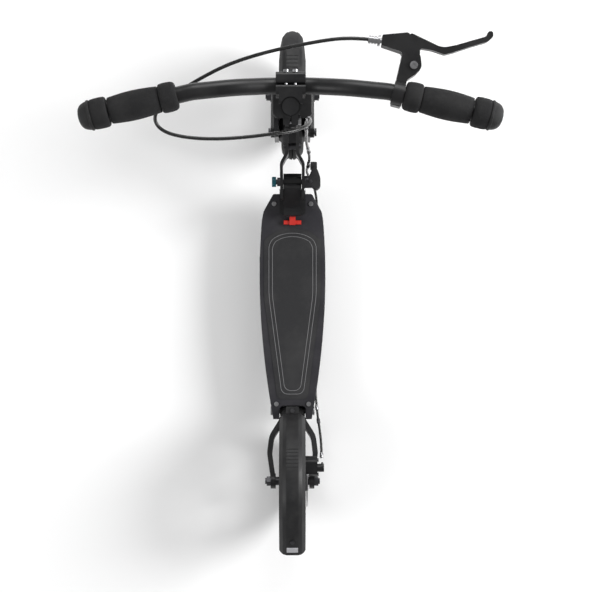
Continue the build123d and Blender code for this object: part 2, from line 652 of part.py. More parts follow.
def make_stem():
    """Lower tube with its clamps, and the sliding inner tube with the handlebar clamp."""
    low = collar(lower_tube_low, lower_tube_top, lower_tube_r, inner_tube_r + run_gap)
    slot = Plane(origin=on_axis(lower_tube_top), x_dir=(1, 0, 0), z_dir=steer.z_dir) * (
        Pos(0, -lower_tube_r, -20) * Box(3, lower_tube_r, 44))
    save("lower_stem_tube", low - slot)
    base = collar(300, 348, 21.5, lower_tube_r)
    base += collar(head_low + head_len + 0.6, 300, 19.5, steerer_r)
    base -= collar(290, lower_tube_low, steerer_r, 0)
    base += in_steer(Pos(0, -22, 327) * Box(16, 14, 36))
    base -= in_steer(Pos(0, -22, 327) * Box(2, 26, 60))
    base -= collar(lower_tube_low, 350, lower_tube_r)
    bolts = []
    for s in (316, 338):
        p, q = on_axis(s, -25, -11), on_axis(s, -25, 11)
        base -= rod(p, q, 2.5)
        bolts.append(rod(p, q, 2.5) + rod(on_axis(s, -25, 8), on_axis(s, -25, 12), 4.2))
    save("stem_clamps", base)
    save("steering_bolts", *bolts)
    top = collar(596, 640, 19.5, lower_tube_r)
    top -= collar(lower_tube_top, 641, lower_tube_r, 0)
    top += collar(lower_tube_top, 640, 19.5, inner_tube_r + run_gap)
    top += in_steer(Pos(0, -25, 618) * Box(15, 14, 34))
    top -= in_steer(Pos(0, -24, 618) * Box(2.4, 26, 60))
    top -= rod(on_axis(618, -26, -12), on_axis(618, -26, 12), 3)
    save("stem_clamps", top)
    pin = rod(on_axis(618, -26, -12), on_axis(618, -26, 14), 3)
    pin += rod(on_axis(618, -26, -7.5), on_axis(618, -26, -12), 6)
    save("steering_bolts", pin)
    hub = [on_axis(618, -26, 7.5 + face_gap), on_axis(618, -26, 13.5)]
    lever = rod(*hub, 8) - rod(on_axis(618, -26, 0), on_axis(618, -26, 20), 3 + run_gap)
    arm = tube_along([on_axis(612, -31, 11.5), on_axis(598, -40, 11), on_axis(588, -42, 0), on_axis(586, -40, -10)],
                     [7, 7], 3.2)
    lever = lever + (arm - rod(on_axis(618, -26, 0), on_axis(618, -26, 20), 3 + run_gap))
    save("height_lever", lever)
    inner = collar(inner_tube_low, inner_tube_top, inner_tube_r, inner_tube_r - 2)
    save("inner_stem_tube", inner)
    head = collar(826, 868, 15.5, inner_tube_r)
    head += in_steer(Pos(0, -18, 847) * Box(20, 13, 34))
    head -= collar(820, 880, inner_tube_r, 0)
    block_low, block_top = bar_z - 19, bar_z + 19
    body = block((-19.5, 19.5), (bar_y + 0.6, bar_y + 16), (block_low, block_top), 5, Axis.X)
    yoke = block((-15.5, 15.5), (238, bar_y - 0.6), (block_low, block_top), 4, Axis.X)
    yoke += block((-19.5, 19.5), (250, bar_y - 0.6), (block_low, block_top), 4, Axis.X)
    yoke -= collar(800, 900, inner_tube_r, 0)
    head += yoke
    head -= in_steer(Pos(0, -20, 847) * Box(2, 30, 60))
    tunnel = rod((-30, bar_y, bar_z), (30, bar_y, bar_z), bar_r)
    head -= tunnel
    bolts = []
    for x in (-6, 6):
        for dz in (-14.5, 14.5):
            p, q = (x, bar_y - 12, bar_z + dz), (x, bar_y + 17, bar_z + dz)
            head -= rod(p, q, 2.0)
            body -= rod(p, q, 2.0)
            bolts.append(rod(p, (x, bar_y + 16, bar_z + dz), 2.0) + rod((x, bar_y + 16, bar_z + dz),
                                                                    (x, bar_y + 19, bar_z + dz), 3.4))
    head -= rod(on_axis(847, -21, -12), on_axis(847, -21, 12), 2.5)
    save("stem_head", head)
    save("stem_head", body - tunnel)
    save("bar_hardware", *bolts)
    save("bar_hardware", rod(on_axis(847, -21, -10), on_axis(847, -21, 12), 2.5) + rod(
        on_axis(847, -21, 10), on_axis(847, -21, 14), 4.2))
    cap = collar(868, 872, 11.4, 0)
    cap = cap + collar(866.0, 868, 10.5, 0)
    save("stem_top_cap", cap)


def along_bar(x0, x1, r, r_hole=0.0):
    """A ring on the right end of the handlebar between two distances from the middle."""
    return rod(bar_point(x0), bar_point(x1), r, r_hole)


def make_handlebar():
    """Bar, foam grips, their bands, domed end caps and the coloured end discs."""
    rise_x, back_x, straight_x = bar_bend_x
    right = [bar_point(bar_half), bar_point(straight_x), (back_x, bar_y - 4.8, bar_z + 16), (rise_x, bar_y, bar_z)]
    left = [(-x, y, z) for x, y, z in reversed(right)]
    save("handlebar", tube_along(right + left, [60, 150, 60, 60, 150, 60], bar_r, bar_r - 2))
    foam = along_bar(grip_inner, grip_outer, grip_r, bar_r)
    foam = fillet(foam.edges().filter_by(GeomType.CIRCLE).sort_by(SortBy.RADIUS)[-2:], 2)
    save("grips", foam)
    save("grips", mirror_x(foam))
    bands, caps, discs = [], [], []
    inner = along_bar(grip_inner - band_w, grip_inner, grip_r - 1.5, bar_r)
    inner -= along_bar(grip_inner - band_w + 5, grip_inner - band_w + 7, grip_r, grip_r - 2.3)
    outer = along_bar(grip_outer, bar_half, grip_r - 1.0, bar_r)
    for part in (inner, outer):
        bands += [part, mirror_x(part)]
    save("grip_caps", *bands)
    tip = bar_half + cap_len
    cap = along_bar(bar_half, tip, grip_r - 2.0)
    cap = fillet(cap.faces().sort_by(Axis.X)[-1].edges(), 9)
    cap += along_bar(bar_half, bar_half + 3.5, grip_r + 0.5)
    cap += along_bar(bar_half - 14, bar_half, bar_r - 2)
    cap -= along_bar(tip - 1.2, tip + 1, 6.5)
    save("grip_caps", cap, mirror_x(cap))
    disc = along_bar(tip - 1.2, tip, 6.5)
    save("end_discs", disc, mirror_x(disc))


adjuster_start = Vector(117.4, 320.4, lever_pivot[2])
adjuster_dir = Vector(15.8, -2.1, 0).normalized()


def make_brake_lever():
    """Clamp and nose on the bar, the cable adjuster, the lever and its bolt."""
    px, py, pz = lever_pivot
    half = lever_t / 2 + face_gap
    bracket = along_bar(*lever_clamp_x, 15.5, bar_r)
    bracket += top_slab([(130.5, 236), (143.6, 232.5), (148.2, 252.6), (151.6, 268), (163, 275.5), (171, 284),
                         (169.4, 298), (163, 314), (154, 330), (119.7, 326.8), (118.6, 313.2), (146, 304)],
                        [2, 2, 3, 6, 8, 10, 4, 4, 5, 2, 2, 4], pz - 9, pz + 9)
    bracket -= along_bar(lever_clamp_x[0] - 12, lever_clamp_x[1] + 12, bar_r)
    slot = rod((px, py, pz - half), (px, py, pz + half), lever_root_r + face_gap + 0.3)
    slot += top_slab([(150.5, py + 1), (160, py - 8), (190, py - 4), (190, 345), (150.5, 345)], [0] * 5,
                     pz - half, pz + half)
    bracket -= slot
    bracket -= rod((px, py, pz - 12), (px, py, pz + 12), 3)
    bracket -= rod(adjuster_start - adjuster_dir, adjuster_start + adjuster_dir * 34, 3.2)
    save("lever_bracket", bracket)
    bolt = rod((px, py, pz - 10.5), (px, py, pz + 9), 3) + rod((px, py, pz + 9), (px, py, pz + 12), 5.2)
    bolt -= Pos(px, py, pz + 10.5) * extrude(RegularPolygon(2.4, 6), 4)
    save("bar_hardware", bolt)
    blade = [(px - 8.5, py), (px + 8.5, py), (168.8, 309.9), (184, 307.4), (201, 301.6), (212.1, 304.4),
             (234.3, 311.8), (257, 318.4), (264.5, 325), (264.4, 332.8), (257.8, 331.6), (256, 325.4), (233.1, 319),
             (216.7, 314.2), (198, 310.5), (157.1, 330.2), (151.8, 322)]
    lever = top_slab(blade, [2, 2, 3, 20, 6, 20, 0, 9, 3, 3, 3, 6, 0, 20, 24, 4, 5], pz - lever_t / 2, pz + lever_t / 2)
    lever += rod((px, py, pz - lever_t / 2), (px, py, pz + lever_t / 2), lever_root_r)
    lever -= rod((px, py, pz - 12), (px, py, pz + 12), 3 + run_gap)
    save("brake_lever", lever)
    d = adjuster_dir * -1
    p, q = adjuster_start, adjuster_start + d * 16
    adjuster = rod(p, q, 4.2) + rod(p, p - d * 20, 3.2)
    adjuster += rod(tuple(p + d * 0.4), tuple(p + d * 3.4), 7.2)
    for i in range(3):
        c = p + d * (5 + 3.8 * i)
        adjuster += rod(tuple(c), tuple(c + d * 2.8), 5.2)
    adjuster -= rod(tuple(q - d * 6), tuple(q + d), cable_r)
    save("bar_hardware", adjuster)


# ---- rear arm ----

def make_rear_arm():
    """The forked swingarm with its bushes, pivot bolt, axle and nuts."""
    slope = (tyre_r - arm_pivot_z) / (arm_pivot_y - rear_axle_y)
    length = sqrt(1 + slope**2)
    tilted = Plane(origin=(0, arm_pivot_y, arm_pivot_z), x_dir=(1, 0, 0), z_dir=(0, slope, 1))
    reach = (arm_pivot_y - rear_axle_y) * length
    t = arm_t / 2
    centre = [(14, 2), (23.5, -24), (42, -54), (46, -88), (38.5, -reach + 4), (38.5, -reach - 12)]
    path = FilletPolyline(*[(x, y) for x, y in centre], radius=[16, 40, 40, 30])
    band = trace(path, arm_t)
    fork = extrude(band, 12, both=True)
    right = tilted * fork
    right += rod((38.5 - t, rear_axle_y, tyre_r), (38.5 + t, rear_axle_y, tyre_r), 15)
    hub = rod((-25.5, arm_pivot_y, arm_pivot_z), (25.5, arm_pivot_y, arm_pivot_z), 10)
    post = side_slab([(-254, 90), (-242, 90), (-237, 120), (-234.5, 150), (-247.8, 150), (-251, 120)],
                     [0, 0, 8, 2, 0, 8], -12, 12)
    yoke = right + mirror_x(right) + hub + post
    yoke -= rod((-30, arm_pivot_y, arm_pivot_z), (30, arm_pivot_y, arm_pivot_z), 9)
    wheel_room = rod((-24.5, rear_axle_y, tyre_r), (24.5, rear_axle_y, tyre_r), tyre_r + 3.2)
    yoke -= wheel_room & block((-24.5, 24.5), (-420, -250), (0, 300))
    for side in (-1, 1):
        yoke -= rod((side * (38.5 + t), rear_axle_y, tyre_r), (side * 60, rear_axle_y, tyre_r), 13.5)
    yoke -= rod((-38.5 + t, rear_axle_y, tyre_r), (38.5 - t, rear_axle_y, tyre_r), 17)
    yoke -= rod((-60, rear_axle_y, tyre_r), (60, rear_axle_y, tyre_r), axle_r)
    yoke -= rod((0, -242.5, 120), (0, -242.5, 160), 2.5)
    save("rear_yoke", yoke)
    bushes = [rod((side * 12, arm_pivot_y, arm_pivot_z), (side * 25.5, arm_pivot_y, arm_pivot_z), 9,
                  axle_r + run_gap) for side in (-1, 1)]
    save("rear_bushes", *bushes)
    bolt = rod((-42, arm_pivot_y, arm_pivot_z), (42, arm_pivot_y, arm_pivot_z), axle_r)
    for side in (-1, 1):
        bolt += rod((side * 41, arm_pivot_y, arm_pivot_z), (side * 44.5, arm_pivot_y, arm_pivot_z), 9)
    save("deck_bolts", bolt)
    out = 38.5 + t
    save("rear_hardware", rod((-out - 11, rear_axle_y, tyre_r), (out + 11, rear_axle_y, tyre_r), axle_r))
    nuts = []
    for side in (-1, 1):
        n = Plane(origin=(side * out, rear_axle_y, tyre_r), z_dir=(side, 0, 0)) * extrude(RegularPolygon(10, 6), 8)
        nuts.append(n - rod((side * out, rear_axle_y, tyre_r), (side * (out + 12), rear_axle_y, tyre_r), axle_r))
        near = 21.0 + face_gap if side < 0 else rotor_x + 1
        nuts.append(rod((side * near, rear_axle_y, tyre_r), (side * (38.5 - t), rear_axle_y, tyre_r), 8.5, axle_r))
    save("rear_hardware", *nuts)


rear_fender_r = 140.0


def make_rear_fender():
    """The mudguard with its front tab, tail, bolts and reflector."""
    r = rear_fender_r
    shell = fender_shell(rear_axle_y, tyre_r, r, 9.3, 120, fender_w / 2, 10)
    a = radians(120)
    foot = (rear_axle_y + r * cos(a), tyre_r + r * sin(a))
    down = (cos(a + radians(90)), sin(a + radians(90)))
    tail_len = 70.0
    w = fender_w / 2
    outline = [(-w, -10), (-w + 7, -3), (-w + 14, 0), (w - 14, 0), (w - 7, -3), (w, -10),
               (w - fender_wall, -10), (w - 8.2, -5.2), (w - 14.5, -fender_wall), (-w + 14.5, -fender_wall),
               (-w + 8.2, -5.2), (-w + fender_wall, -10)]
    face = rounded(outline, [0, 5, 8, 8, 5, 0, 0, 4, 6, 6, 4, 0])
    here = Plane(origin=(0, foot[0], foot[1]), x_dir=(1, 0, 0), z_dir=(0, down[0], down[1]))
    tail = here * extrude(face, tail_len)
    end_y = foot[0] + down[0] * tail_len
    cap = top_slab([(-w - 1, foot[0] + 5), (w + 1, foot[0] + 5), (w + 1, end_y), (-w - 1, end_y)],
                   [0, 0, 15, 15], 100, 300)
    tail &= cap
    shell += tail
    tab = block((-13, 13), (-246, -232.5), (150, 152.5), 2)
    shell += tab
    shell -= nodes["rear_yoke"][0]
    shell -= rod((0, -242.5, 140), (0, -242.5, 160), 2.5)
    for i in range(6):
        b = radians(56 + 2.9 * i)
        p = (rear_axle_y + (r - 0.4) * cos(b), tyre_r + (r - 0.4) * sin(b))
        shell += rod((-11.5, *p), (11.5, *p), 1.3)
    t = 0.52 * tail_len
    seat = (foot[0] + down[0] * t, foot[1] + down[1] * t)
    normal = (cos(a), sin(a))
    q = (seat[0] + normal[0] * 3, seat[1] + normal[1] * 3)
    stay_top = (seat[0] - normal[0] * 8, seat[1] - normal[1] * 8)
    shell -= rod((0, *stay_top), (0, *q), 2.0)
    save("rear_fender", shell)
    screw = rod((0, -242.5, 138), (0, -242.5, 153), 2.5) + rod((0, -240.5, 152.5), (0, -240.5, 155.5), 4.2)
    screw -= shell
    bolt = rod((0, *stay_top), (0, seat[0] + normal[0] * 1, seat[1] + normal[1] * 1), 2.0)
    bolt += rod((0, *seat), (0, *q), 4)
    save("rear_hardware", screw, bolt)
    t0, t1 = tail_len * 0.80, tail_len * 0.80 + 12
    m0 = (foot[0] + down[0] * t0 + normal[0] * 0.0, foot[1] + down[1] * t0)
    plate = Plane(origin=(0, m0[0], m0[1]), x_dir=(-1, 0, 0), z_dir=(0, normal[0], normal[1]))
    glass = plate * Box(22, 11, 2.4, align=(Align.CENTER, Align.CENTER, Align.MIN))
    glass = fillet(glass.edges().filter_by(Axis.X), 0.8)
    save("reflector", glass)


# ---- caliper and cable ----
caliper_pivot = (56.0, -352.0, 163.0)
caliper_screw_places = [(-365.5, 160), (-336.5, 165)]


def make_caliper():
    """The mechanical disc caliper: body with its bracket, pads, arm and screws."""
    x, y, z = caliper_pivot
    body = side_slab([(-372, 150), (-364, 176), (-336, 176), (-329, 160), (-333, 143), (-350, 141)],
                     [5, 8, 8, 6, 6, 6], 20, 49)
    gap = rod((rotor_x - 2.6, rear_axle_y, tyre_r), (rotor_x + 2.6, rear_axle_y, tyre_r), rotor_r + 1.2)
    body -= gap
    body -= rod((19, rear_axle_y, tyre_r), (24.9, rear_axle_y, tyre_r), 200) & block(
        (19, 24.9), (-400, -300), (100, 141.5))
    body -= rod((24.9, rear_axle_y, tyre_r), (60, rear_axle_y, tyre_r), 24)
    body -= rod((45, y, z), (60, y, z), 8.4)
    for yy, zz in caliper_screw_places:
        body -= rod((44, yy, zz), (50, yy, zz), 2)
    body += block((41, 49), (-358, -334), (110, 144)) - nodes["rear_yoke"][0]
    save("caliper_body", body.solids().sort_by(SortBy.VOLUME)[-1])
    pads = []
    for side in (-1, 1):
        near, far = rotor_x + side * 1.2, rotor_x + side * 2.6
        pads.append(rod((near, -350, 149), (far, -350, 149), 7))
    save("caliper_body", *pads)
    shaft = rod((45.2, y, z), (x + 6, y, z), 8.3 - face_gap)
    arm = side_slab([(y - 7, z + 7), (y + 7, z + 8), (y + 9, z - 6), (y + 7, z - 31), (y - 3, z - 36),
                     (y - 8, z - 8)], [6, 6, 5, 3, 3, 5], x + 1, x + 5)
    save("caliper_arm", shaft + arm)
    screws = []
    for yy, zz in caliper_screw_places:
        s = rod((44, yy, zz), (49, yy, zz), 2) + rod((49, yy, zz), (51.5, yy, zz), 3.6)
        screws.append(s)
    save("rear_hardware", *screws)


def make_cables():
    """The brake cable, in one length for each body that carries it."""
    for name, points in cable_routes.items():
        save(name, cord(name, points))


cable_routes = {
    "cable_bar": [(101.6, 322.5, 985.0), (80, 324.5, 984), (52, 323, 982), (12, 317, 976), (-32, 309, 970),
                  (-82, 295, 962), (-126, 274, 954), (-164, 251, 946), (-186, 230, 938), (-178, 211, 930),
                  (-148, 202, 924), (-104, 200, 918), (-60, 204, 910), (-24, 210, 900), (6, 216, 884),
                  (26, 228, 862), (28, 240, 836), (25, 243, 808)],
    "cable_column": [(22.0, 240.0, 742.0), (23, 243, 690), (24, 248, 630), (24, 252, 560), (24, 254, 490),
                     (26, 254, 420), (29, 251, 372)],
    "cable_frame": [(30.0, 249.0, 352.0), (32, 246, 310), (32, 242, 262), (31, 238, 240)],
    "cable_deck": [(30.5, 236.0, 222.0), (28, 235.5, 190), (28, 231, 158), (34, 223, 124), (44, 209, 90), (50, 182, 62),
                   (50, 132, 59), (51, 72, 60), (51, 8, 59), (50, -56, 60), (48, -120, 59), (46, -176, 60),
                   (47, -214, 59.5), (50, -246, 70)],
    "cable_arm": [(52.0, -264.0, 85.0), (55, -285, 104), (58, -312, 121), (58, -336, 131)],
}


def main():
    make_deck()
    make_controls()
    make_kickstand()
    make_neck()
    make_latch()
    make_fold_axle()
    make_cam()
    make_side_plates()
    make_fork()
    make_links()
    make_front_fender()
    make_front_wheel()
    make_rear_wheel()
    make_stem()
    make_handlebar()
    make_brake_lever()
    make_rear_arm()
    make_rear_fender()
    make_caliper()
    make_cables()
    write_parts()


main()
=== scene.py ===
import bpy
import math
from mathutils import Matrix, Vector


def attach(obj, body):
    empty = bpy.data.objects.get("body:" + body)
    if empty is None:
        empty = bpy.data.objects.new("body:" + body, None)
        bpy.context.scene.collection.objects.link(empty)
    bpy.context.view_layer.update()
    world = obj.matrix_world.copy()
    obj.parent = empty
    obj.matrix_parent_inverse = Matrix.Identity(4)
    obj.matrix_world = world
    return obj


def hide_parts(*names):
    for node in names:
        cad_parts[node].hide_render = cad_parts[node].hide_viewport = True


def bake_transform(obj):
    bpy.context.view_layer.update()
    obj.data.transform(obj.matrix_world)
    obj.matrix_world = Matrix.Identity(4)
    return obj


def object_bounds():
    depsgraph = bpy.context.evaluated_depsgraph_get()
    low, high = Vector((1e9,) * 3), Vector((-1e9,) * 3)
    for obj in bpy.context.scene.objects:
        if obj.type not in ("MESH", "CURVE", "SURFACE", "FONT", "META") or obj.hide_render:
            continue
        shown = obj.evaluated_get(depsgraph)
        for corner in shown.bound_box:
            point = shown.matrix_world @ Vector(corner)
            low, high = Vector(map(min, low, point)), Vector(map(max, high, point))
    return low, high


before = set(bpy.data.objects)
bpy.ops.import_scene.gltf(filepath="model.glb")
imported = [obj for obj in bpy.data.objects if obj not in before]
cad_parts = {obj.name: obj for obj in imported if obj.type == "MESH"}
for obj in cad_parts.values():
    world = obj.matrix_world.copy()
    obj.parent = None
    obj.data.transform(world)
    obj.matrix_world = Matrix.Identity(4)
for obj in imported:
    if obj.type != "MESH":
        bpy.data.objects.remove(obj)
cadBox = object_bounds()
print("frame loaded", len(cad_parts), "nodes")


def tidySelection():
    if bpy.context.object and bpy.context.object.mode != "OBJECT":
        bpy.ops.object.mode_set(mode="OBJECT")
    bpy.ops.object.select_all(action="DESELECT")


tidySelection()

# Helpers that every finish is built from


def newGroup(name, inputs, outputs):
    group = bpy.data.node_groups.new(name, "ShaderNodeTree")
    for label, kind, value in inputs:
        socket = group.interface.new_socket(label, in_out="INPUT", socket_type=kind)
        if value is not None:
            socket.default_value = value
    for label, kind in outputs:
        group.interface.new_socket(label, in_out="OUTPUT", socket_type=kind)
    group.nodes.new("NodeGroupInput")
    group.nodes.new("NodeGroupOutput")
    return group


def objectPlace(tree):
    return tree.nodes.new("ShaderNodeTexCoord").outputs["Object"]


def noiseNode(tree, vector, scale, detail, rough):
    node = tree.nodes.new("ShaderNodeTexNoise")
    node.inputs["Detail"].default_value = detail
    node.inputs["Roughness"].default_value = rough
    tree.links.new(vector, node.inputs["Vector"])
    if isinstance(scale, float):
        node.inputs["Scale"].default_value = scale
    else:
        tree.links.new(scale, node.inputs["Scale"])
    return node.outputs["Fac"]


def cellNode(tree, scale):
    node = tree.nodes.new("ShaderNodeTexVoronoi")
    node.inputs["Scale"].default_value = scale
    tree.links.new(objectPlace(tree), node.inputs["Vector"])
    return node


def mathNode(tree, operation, a, b=0.0, c=None, clamp=False):
    node = tree.nodes.new("ShaderNodeMath")
    node.operation = operation
    node.use_clamp = clamp
    for i, value in enumerate((a, b, c)):
        if value is None:
            continue
        if isinstance(value, (int, float)):
            node.inputs[i].default_value = value
        else:
            tree.links.new(value, node.inputs[i])
    return node.outputs[0]


def remap(tree, value, low, high, outLow=0.0, outHigh=1.0):
    node = tree.nodes.new("ShaderNodeMapRange")
    tree.links.new(value, node.inputs["Value"])
    node.inputs["From Min"].default_value = low
    node.inputs["From Max"].default_value = high
    node.inputs["To Min"].default_value = outLow
    node.inputs["To Max"].default_value = outHigh
    return node.outputs["Result"]


# Two layers of noise, one for the mottled colour and one for the fine bumps
def buildGrain():
    group = newGroup("grain", [("Coarse", "NodeSocketFloat", 40.0), ("Fine", "NodeSocketFloat", 1500.0)],
                     [("Mottle", "NodeSocketFloat"), ("Height", "NodeSocketFloat")])
    source, sink = group.nodes["Group Input"], group.nodes["Group Output"]
    place = objectPlace(group)
    coarse = noiseNode(group, place, source.outputs["Coarse"], 5.0, 0.6)
    fine = noiseNode(group, place, source.outputs["Fine"], 3.0, 0.6)
    group.links.new(coarse, sink.inputs["Mottle"])
    group.links.new(fine, sink.inputs["Height"])
    return group


# Dust lies in clouds and specks, and more of it on what faces up
def buildDust():
    group = newGroup("dust", [("Amount", "NodeSocketFloat", 0.2), ("Scale", "NodeSocketFloat", 25.0)],
                     [("Mask", "NodeSocketFloat")])
    source, sink = group.nodes["Group Input"], group.nodes["Group Output"]
    place = objectPlace(group)
    cloud = remap(group, noiseNode(group, place, source.outputs["Scale"], 8.0, 0.65), 0.42, 0.72)
    specks = remap(group, noiseNode(group, place, 700.0, 2.0, 0.5), 0.60, 0.72)
    up = group.nodes.new("ShaderNodeSeparateXYZ")
    group.links.new(group.nodes.new("ShaderNodeNewGeometry").outputs["Normal"], up.inputs[0])
    facing = remap(group, up.outputs["Z"], -0.2, 0.9, 0.15, 1.0)
    both = mathNode(group, "MAXIMUM", cloud, mathNode(group, "MULTIPLY", specks, 0.7))
    lit = mathNode(group, "MULTIPLY", both, facing)
    mask = mathNode(group, "MULTIPLY", lit, source.outputs["Amount"], clamp=True)
    group.links.new(mask, sink.inputs["Mask"])
    return group


grainGroup = buildGrain()
dustGroup = buildDust()


def placeGroup(tree, group, **values):
    node = tree.nodes.new("ShaderNodeGroup")
    node.node_tree = group
    for label, value in values.items():
        node.inputs[label].default_value = value
    return node


def blendColour(tree, factor, first, second):
    node = tree.nodes.new("ShaderNodeMix")
    node.data_type = "RGBA"
    tree.links.new(factor, node.inputs["Factor"])
    for socket, value in ((node.inputs["A"], first), (node.inputs["B"], second)):
        if isinstance(value, tuple):
            socket.default_value = value + (1.0,)
        else:
            tree.links.new(value, socket)
    return node.outputs["Result"]


def bumpFrom(tree, height, strength, distance, normal=None):
    node = tree.nodes.new("ShaderNodeBump")
    node.inputs["Strength"].default_value = strength
    node.inputs["Distance"].default_value = distance
    tree.links.new(height, node.inputs["Height"])
    if normal is not None:
        tree.links.new(normal, node.inputs["Normal"])
    return node.outputs["Normal"]


def startFinish(name, metallic, specular, coat):
    finish = bpy.data.materials.new(name)
    finish.use_nodes = True
    tree = finish.node_tree
    shader = tree.nodes["Principled BSDF"]
    shader.inputs["Metallic"].default_value = metallic
    shader.inputs["Specular IOR Level"].default_value = specular
    shader.inputs["Coat Weight"].default_value = coat
    shader.inputs["Coat Roughness"].default_value = 0.25
    return finish, tree, shader


def grainyFinish(name, look):
    finish, tree, shader = startFinish(name, look.get("metallic", 0.0), look.get("specular", 0.4),
                                       look.get("coat", 0.0))
    grain = placeGroup(tree, grainGroup, Coarse=look["coarse"], Fine=look["fine"])
    dust = placeGroup(tree, dustGroup, Amount=look["dust"], Scale=look.get("dustScale", 25.0))
    paint = blendColour(tree, grain.outputs["Mottle"], look["dark"], look["light"])
    colour = blendColour(tree, dust.outputs["Mask"], paint, look.get("dustColour", (0.16, 0.155, 0.15)))
    tree.links.new(colour, shader.inputs["Base Color"])
    low, high = look["rough"]
    tree.links.new(remap(tree, grain.outputs["Mottle"], 0.3, 0.7, low, high), shader.inputs["Roughness"])
    normal = bumpFrom(tree, grain.outputs["Height"], look["bump"], look["depth"])
    tree.links.new(normal, shader.inputs["Normal"])
    return finish, tree, shader, grain


finishes = {
    "satinBlack": {"dark": (0.0035, 0.0035, 0.004), "light": (0.008, 0.008, 0.009), "rough": (0.32, 0.46),
                   "coarse": 30.0, "fine": 2200.0, "bump": 0.25, "depth": 0.0002, "dust": 0.06, "coat": 0.1},
    "anthracite": {"dark": (0.011, 0.0105, 0.014), "light": (0.018, 0.017, 0.022), "rough": (0.48, 0.62),
                   "coarse": 22.0, "fine": 1800.0, "bump": 0.3, "depth": 0.0002, "dust": 0.10},
    "moulded": {"dark": (0.005, 0.005, 0.0055), "light": (0.011, 0.011, 0.012), "rough": (0.42, 0.56),
                "coarse": 35.0, "fine": 1500.0, "bump": 0.45, "depth": 0.0003, "dust": 0.10},
    "softRubber": {"dark": (0.004, 0.004, 0.004), "light": (0.010, 0.010, 0.010), "rough": (0.42, 0.6),
                   "coarse": 50.0, "fine": 1400.0, "bump": 0.3, "depth": 0.0002, "dust": 0.08},
    "teal": {"dark": (0.0, 0.085, 0.115), "light": (0.0, 0.13, 0.17), "rough": (0.32, 0.45),
             "coarse": 60.0, "fine": 1800.0, "bump": 0.2, "depth": 0.0002, "dust": 0.05, "coat": 0.2},
    "red": {"dark": (0.45, 0.012, 0.008), "light": (0.62, 0.03, 0.018), "rough": (0.35, 0.5),
            "coarse": 60.0, "fine": 1600.0, "bump": 0.25, "depth": 0.0002, "dust": 0.05, "coat": 0.15},
    "shrinkWrap": {"dark": (0.01, 0.05, 0.22), "light": (0.02, 0.08, 0.32), "rough": (0.2, 0.35),
                   "coarse": 40.0, "fine": 500.0, "bump": 0.4, "depth": 0.0006, "dust": 0.02, "coat": 0.4},
    "steelPart": {"dark": (0.30, 0.30, 0.31), "light": (0.48, 0.48, 0.49), "rough": (0.24, 0.42),
                  "metallic": 1.0, "coarse": 90.0, "fine": 2500.0, "bump": 0.25, "depth": 0.0001,
                  "dust": 0.05, "dustColour": (0.10, 0.09, 0.08)},
    "darkSteel": {"dark": (0.05, 0.05, 0.055), "light": (0.11, 0.11, 0.115), "rough": (0.3, 0.45),
                  "metallic": 0.9, "coarse": 90.0, "fine": 2500.0, "bump": 0.2, "depth": 0.0001,
                  "dust": 0.05},
    "cableSheath": {"dark": (0.010, 0.010, 0.010), "light": (0.018, 0.018, 0.018), "rough": (0.22, 0.32),
                    "coarse": 60.0, "fine": 1200.0, "bump": 0.15, "depth": 0.0002, "dust": 0.03,
                    "coat": 0.2},
    "tapeLine": {"dark": (0.13, 0.13, 0.135), "light": (0.21, 0.21, 0.215), "rough": (0.6, 0.8),
                 "coarse": 200.0, "fine": 1500.0, "bump": 0.3, "depth": 0.0002, "dust": 0.05},
}
made = {name: grainyFinish(name, look)[0] for name, look in finishes.items()}


def tapeFinish():
    look = {"dark": (0.014, 0.014, 0.015), "light": (0.030, 0.030, 0.032), "rough": (0.75, 0.95),
            "coarse": 18.0, "fine": 1200.0, "bump": 0.4, "depth": 0.0003, "dust": 0.12, "dustScale": 12.0,
            "specular": 0.3}
    finish, tree, shader, grain = grainyFinish("gritTape", look)
    # Lighter specks at the grit cell centres are painted glints in the tape's base colour; the same specks
    # also raise the grit bump
    grit = cellNode(tree, 900.0)
    gritAndPaintedGlint = remap(tree, grit.outputs["Distance"], 0.0, 0.22, 1.0, 0.0)
    plain = shader.inputs["Base Color"].links[0].from_socket
    tapeWithPaintedGlints = blendColour(tree, mathNode(tree, "MULTIPLY", gritAndPaintedGlint, 0.55), plain, (0.13, 0.13, 0.135))
    tree.links.new(tapeWithPaintedGlints, shader.inputs["Base Color"])
    height = mathNode(tree, "ADD", grain.outputs["Height"], gritAndPaintedGlint)
    tree.links.new(bumpFrom(tree, height, 0.7, 0.0006), shader.inputs["Normal"])
    return finish


def foamFinish():
    look = {"dark": (0.007, 0.007, 0.0075), "light": (0.014, 0.014, 0.015), "rough": (0.72, 0.9),
            "coarse": 45.0, "fine": 900.0, "bump": 0.6, "depth": 0.0005, "dust": 0.08, "specular": 0.3}
    finish, tree, shader, grain = grainyFinish("gripFoam", look)
    cells = cellNode(tree, 1100.0)
    height = mathNode(tree, "ADD", cells.outputs["Distance"], grain.outputs["Height"])
    tree.links.new(bumpFrom(tree, height, 0.7, 0.0006), shader.inputs["Normal"])
    return finish


tread = {"slant": 34.0, "count": 72.0, "rib": (0.007, 0.009), "depth": 0.0015}


